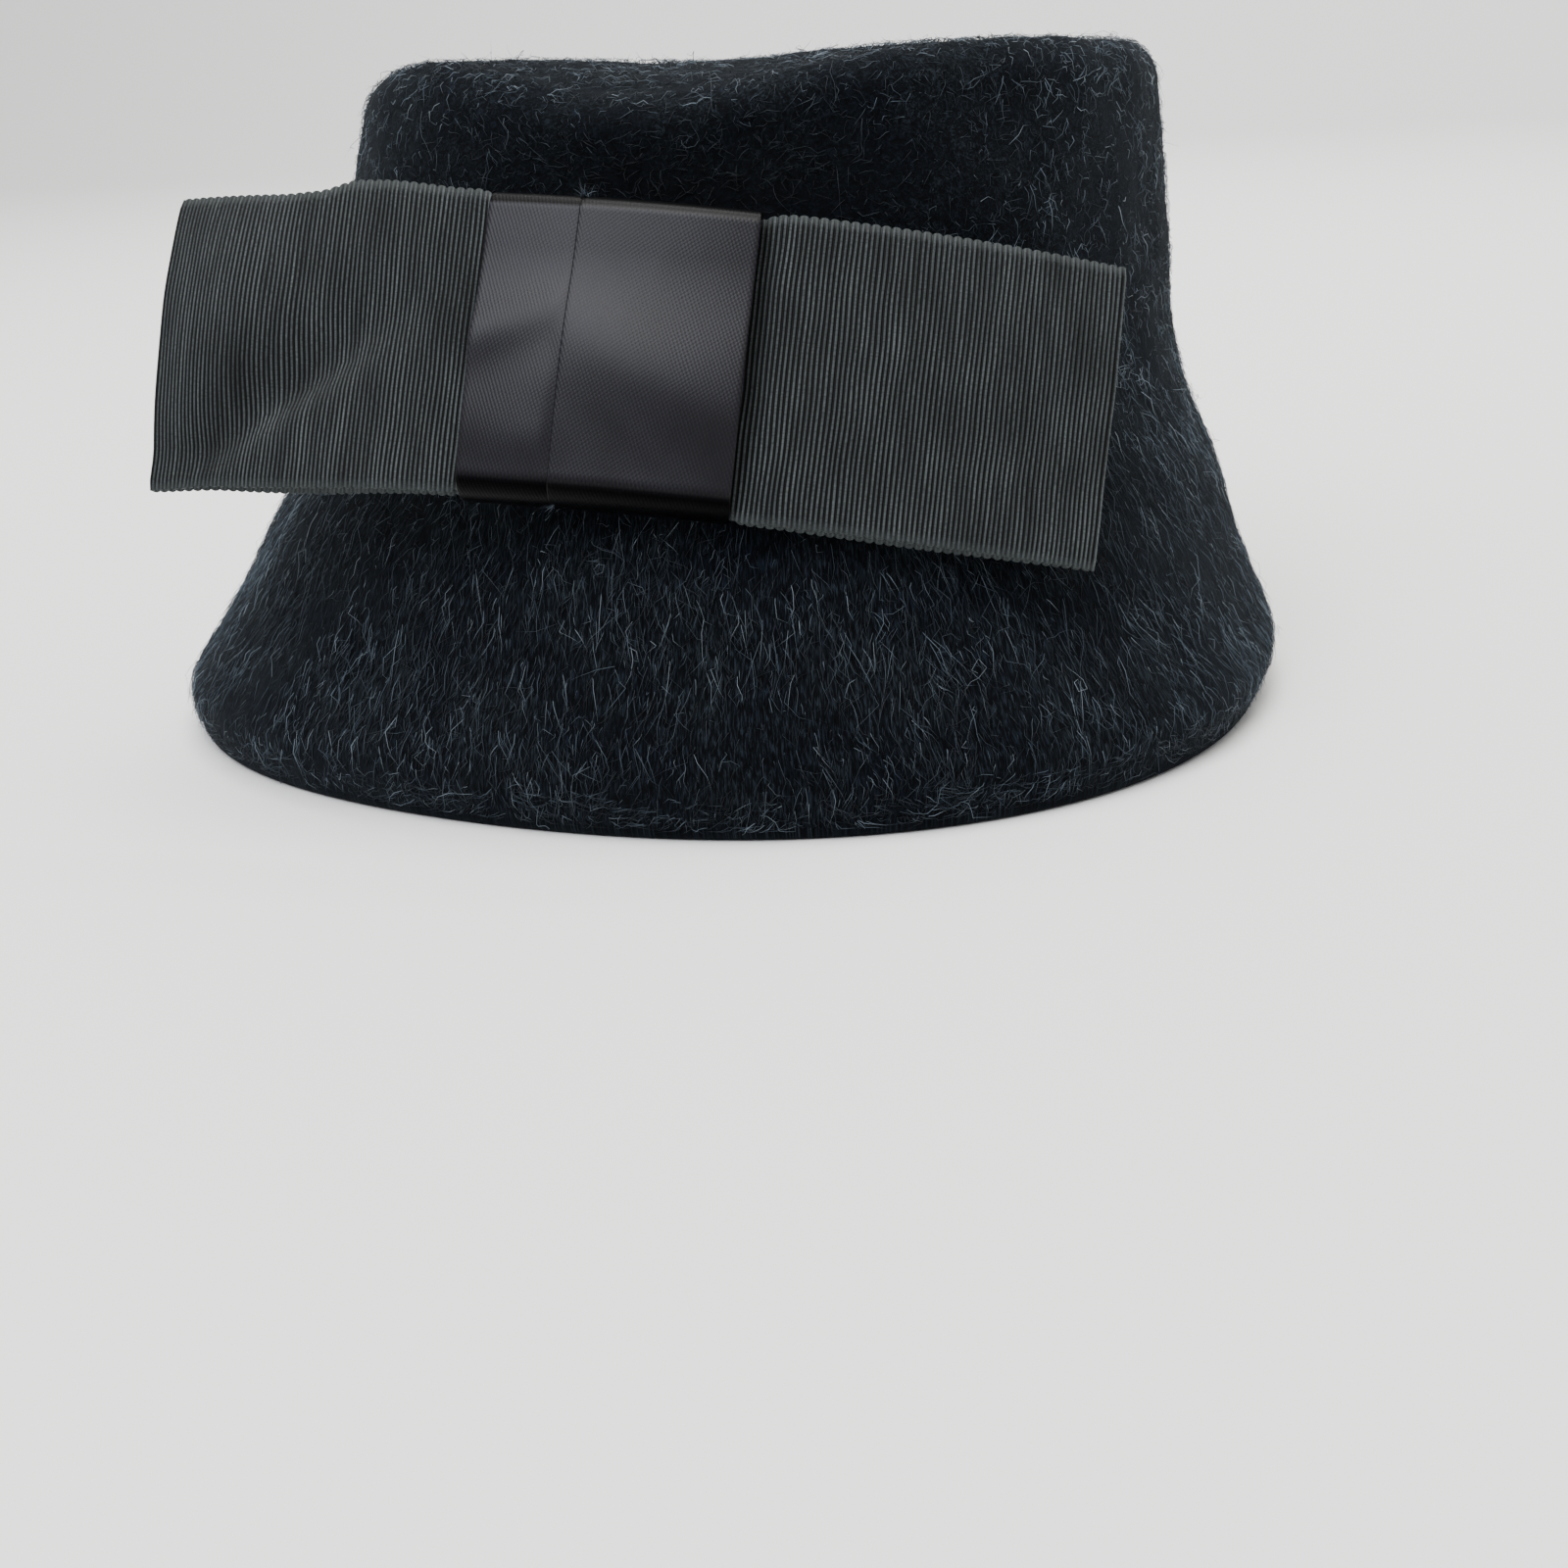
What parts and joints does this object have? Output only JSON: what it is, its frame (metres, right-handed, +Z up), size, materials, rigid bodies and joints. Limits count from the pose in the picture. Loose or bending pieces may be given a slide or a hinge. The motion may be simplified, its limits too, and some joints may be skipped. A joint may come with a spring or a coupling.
{
  "type": "downturned-brim felt hat",
  "caption": "Bucket-shaped felt hat: tall flat-topped crown, short downturned brim, wide ribbon bow with a satin wrap across the front.",
  "frame": {"origin": "under the middle of the hat, on the surface that the rim rests on", "axes": "+Z up through the crown, -Y towards the front of the hat where the bow sits, +X towards the wearer's left"},
  "size_m": [0.232, 0.2402, 0.1318],
  "materials": {
    "mohair_felt": "brushed nap, black",
    "grosgrain": "ribbed, black",
    "satin": "satin sheen, black"
  },
  "bodies": {
    "root": {"felt_body": "mohair_felt", "bow_ribbon": "grosgrain", "satin_wrap": "satin"}
  },
  "joints": []
}
